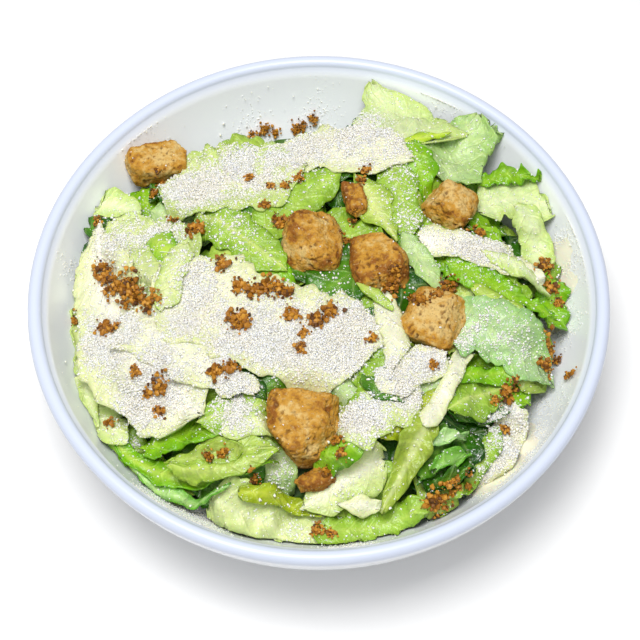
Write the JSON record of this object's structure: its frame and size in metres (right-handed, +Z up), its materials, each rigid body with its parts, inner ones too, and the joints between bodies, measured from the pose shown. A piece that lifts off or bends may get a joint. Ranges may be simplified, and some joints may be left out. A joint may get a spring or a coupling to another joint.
{
  "type": "caesar salad in a bowl",
  "caption": "Caesar salad of torn romaine with toasted croutons, crumbs and grated cheese, heaped in a round white bowl.",
  "frame": {"origin": "middle of the foot ring's underside, on the table", "axes": "+Z up; -Y towards the eater, so that +X is to the right"},
  "size_m": [0.2, 0.2, 0.064],
  "materials": {
    "bowl_glaze": "glossy glazed ceramic",
    "romaine": "moist leaf, soft sheen",
    "toast": "dry toasted bread"
  },
  "bodies": {
    "root": {"bowl": "bowl_glaze", "lettuce_heap": "romaine", "crouton_back_left": "toast", "crouton_centre_left": "toast", "crouton_centre_right": "toast", "crouton_right_back": "toast", "crouton_right": "toast", "crouton_front": "toast", "crouton_heel": "toast", "shard_back": "toast", "shard_boat": "toast"}
  },
  "joints": []
}
